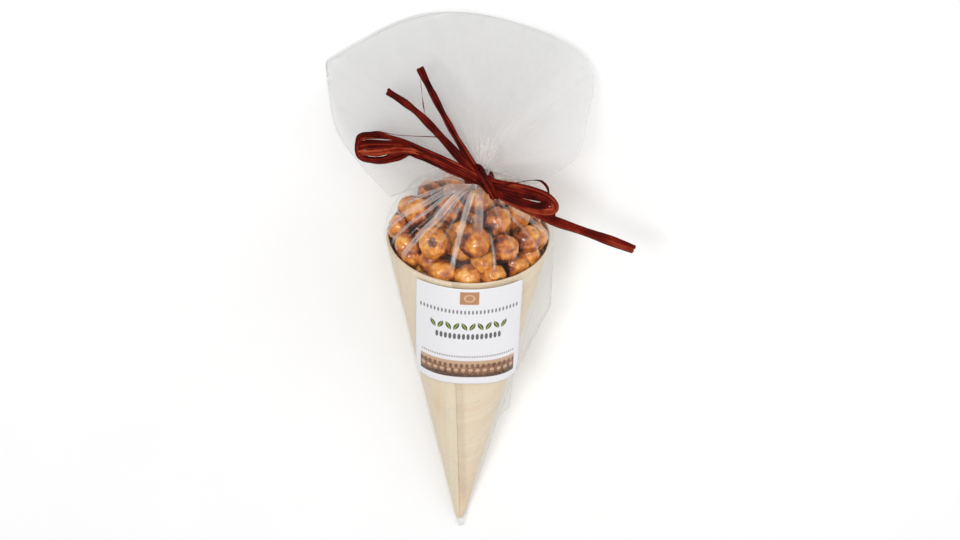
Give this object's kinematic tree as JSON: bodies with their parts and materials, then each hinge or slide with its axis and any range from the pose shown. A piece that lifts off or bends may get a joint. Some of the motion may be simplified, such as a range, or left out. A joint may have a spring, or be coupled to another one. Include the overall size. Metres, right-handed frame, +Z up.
{
  "type": "cone of hazelnuts",
  "caption": "Rolled wooden cone heaped with caramelised hazelnuts, in a clear film bag gathered to a neck, tied with a raffia bow and fanned out beyond it. It lies on its side, label up.",
  "frame": {"origin": "bottom centre of the whole object's box, on the surface that the cone lies on", "axes": "+Z up, out of the side with the label; -Y towards the cone's tip and +Y towards the fan of film; +X to the right when seen from above with the fan away from the viewer"},
  "size_m": [0.154, 0.277, 0.0816],
  "materials": {
    "wood_veneer": "plain sliced veneer, matt",
    "caramelised_nut": null,
    "clear_film": "thin clear film, glossy, creased",
    "label_paper": "smooth white paper with plain printed shapes",
    "raffia": "dyed plant fibre, slightly glossy, streaked along its length"
  },
  "bodies": {
    "root": {"cone": "wood_veneer", "nuts": "caramelised_nut", "film_bag": "clear_film", "label": "label_paper", "raffia_bow": "raffia"}
  },
  "joints": []
}
